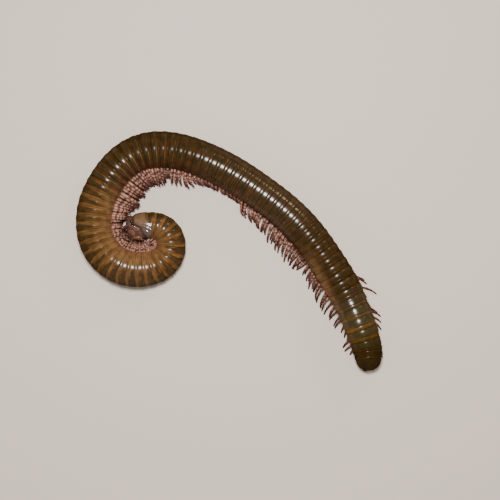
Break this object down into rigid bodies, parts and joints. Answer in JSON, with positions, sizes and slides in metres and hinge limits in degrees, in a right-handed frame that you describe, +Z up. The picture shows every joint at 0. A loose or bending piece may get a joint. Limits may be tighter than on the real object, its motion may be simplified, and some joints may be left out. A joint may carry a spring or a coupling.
{
  "type": "giant olive millipede (telodeinopus aoutii) model",
  "caption": "Life-size giant olive millipede at rest: head end coiled on its flank, tail end stretched out, with ringed glossy cuticle and a dense fringe of fine jointed legs.",
  "frame": {"origin": "on the floor, under the middle of the animal's bounding box", "axes": "+Z up from the floor it lies on; +X along its longest extent, from the coiled head end towards the tail end; +Y across, towards the top of the arch that the body makes"},
  "size_m": [0.0843, 0.0652, 0.0104],
  "materials": {
    "cuticle": "glossy olive-brown chitin with amber rear edges to the rings",
    "head_shell": "glossy dark purplish-brown chitin",
    "eye_black": "shiny black, made of many small eye spots",
    "feeler": "satin brown chitin, paler at the joints"
  },
  "bodies": {
    "root": {"head": "head_shell", "eye_left": "eye_black", "eye_right": "eye_black", "antenna_left": "feeler", "antenna_right": "feeler", "collum": "cuticle", "body_01": "cuticle", "body_02": "cuticle", "body_03": "cuticle", "body_04": "cuticle", "body_05": "cuticle", "body_06": "cuticle", "body_07": "cuticle", "body_08": "cuticle", "body_09": "cuticle", "body_10": "cuticle", "body_11": "cuticle", "telson": "cuticle"}
  },
  "joints": []
}
